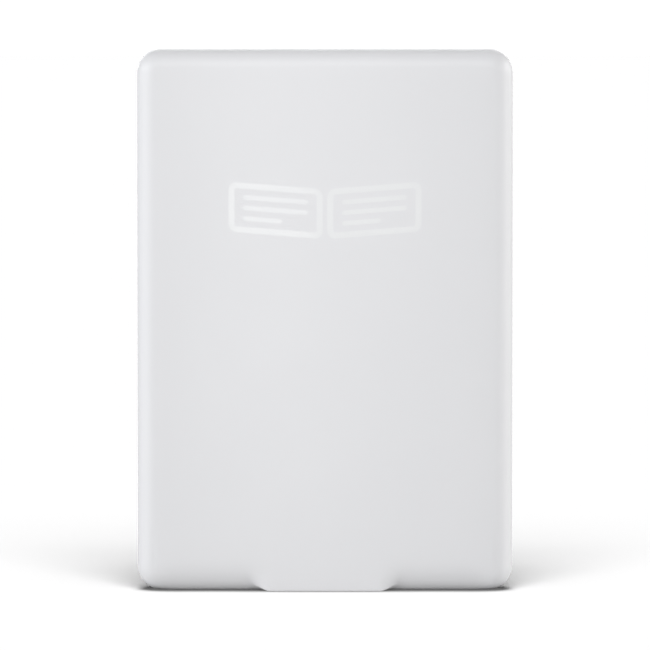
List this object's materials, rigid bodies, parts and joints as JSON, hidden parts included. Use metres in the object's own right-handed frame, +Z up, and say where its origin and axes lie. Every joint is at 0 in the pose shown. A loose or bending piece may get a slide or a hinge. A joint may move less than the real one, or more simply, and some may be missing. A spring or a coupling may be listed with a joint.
{
  "type": "e-reader",
  "caption": "White e-reader with a flat rounded back, a bottom tab with charging port, status light and power button, and a framed paper-like screen on its front.",
  "frame": {"origin": "on the standing surface, under the middle of the reader's width and thickness", "axes": "+X across the width, +Y out of the screen through the thickness, +Z up the height; the rear cover faces -Y"},
  "size_m": [0.117, 0.0092, 0.169],
  "materials": {
    "cover_plastic": "soft-touch white, very fine grain",
    "bezel_plastic": "satin white",
    "button_plastic": "satin white",
    "gasket_foam": "closed-cell foam",
    "thermal_rubber": "soft grey-blue silicone",
    "touch_glass": "matt anti-glare",
    "guide_plastic": "clear polished",
    "pipe_plastic": "clear polished",
    "ink_film": "paper-like",
    "backplane_glass": "coated glass",
    "adhesive": "double-sided tape",
    "stretch_tape": "white stretch tape",
    "flex_film": "amber polyimide",
    "diode": "phosphor window in white body",
    "connector_plastic": "ivory nylon",
    "port_plastic": "black nylon",
    "switch_plastic": "black nylon",
    "pusher_plastic": "white nylon",
    "spring_steel": "bright",
    "magnesium": "cast, bead-blasted",
    "screw_steel": "black zinc",
    "circuit_board": "green solder mask",
    "chip_epoxy": "moulded epoxy",
    "shield_metal": "tin plated",
    "port_metal": "nickel plated",
    "gold_plate": "gold plated",
    "capacitor_ceramic": "fired ceramic with tinned ends",
    "resistor_ceramic": "coated ceramic with tinned ends",
    "ferrite": "pressed ferrite",
    "battery_pouch": "laminated foil pouch",
    "lead_red": "insulated wire",
    "lead_white": "insulated wire",
    "lead_black": "insulated wire",
    "antenna_film": "printed film",
    "cable_jacket": "smooth jacket"
  },
  "bodies": {
    "root": {"rear_cover": "cover_plastic", "front_bezel": "bezel_plastic", "bezel_gasket": "gasket_foam", "battery_foam": "gasket_foam", "thermal_pad": "thermal_rubber", "touch_panel": "touch_glass", "light_guide": "guide_plastic", "status_light_pipe": "pipe_plastic", "display_film": "ink_film", "display_backplane": "backplane_glass", "display_adhesive": "adhesive", "battery_adhesive": "stretch_tape", "display_flex": "flex_film", "touch_flex": "flex_film", "light_flex": "flex_film", "light_leds": "diode", "status_led": "diode", "display_connector": "connector_plastic", "touch_connector": "connector_plastic", "light_connector": "connector_plastic", "battery_plug": "connector_plastic", "battery_socket": "connector_plastic", "usb_insulator": "port_plastic", "usb_tongue": "port_plastic", "power_switch_body": "switch_plastic", "power_switch_dome": "spring_steel", "mid_frame": "magnesium", "frame_screws": "screw_steel", "board_screws": "screw_steel", "main_board": "circuit_board", "battery_protection_board": "circuit_board", "processor_chip": "chip_epoxy", "memory_chip": "chip_epoxy", "flash_chip": "chip_epoxy", "power_chip": "chip_epoxy", "display_power_chip": "chip_epoxy", "charger_chip": "chip_epoxy", "hall_sensor": "chip_epoxy", "display_driver_chip": "chip_epoxy", "shield_frame": "shield_metal", "shield_lid": "shield_metal", "wireless_module": "shield_metal", "clock_crystal": "shield_metal", "usb_shell": "port_metal", "test_pads": "gold_plate", "usb_contacts": "gold_plate", "antenna_connector": "gold_plate", "antenna_plug": "gold_plate", "capacitors": "capacitor_ceramic", "resistors": "resistor_ceramic", "inductors": "ferrite", "battery_cell": "battery_pouch", "battery_lead_red": "lead_red", "battery_lead_white": "lead_white", "battery_lead_black": "lead_black", "antenna": "antenna_film", "antenna_cable": "cable_jacket"},
    "power_button": {"power_button": "button_plastic"},
    "switch_plunger": {"power_switch_plunger": "pusher_plastic"}
  },
  "joints": [
    {"name": "power_button_press", "type": "slide", "parent": "root", "child": "power_button", "axis": [0, 0, 1], "range_m": [0, 0.00035], "stiffness_N_per_m": 4500},
    {"name": "switch_plunger_press", "type": "slide", "parent": "root", "child": "switch_plunger", "axis": [0, 0, 1], "range_m": [0, 0.00035], "deforming": ["power_switch_dome"]}
  ],
  "couplings": [
    {"joint": "switch_plunger_press", "follows": "power_button_press", "ratio": 1}
  ]
}
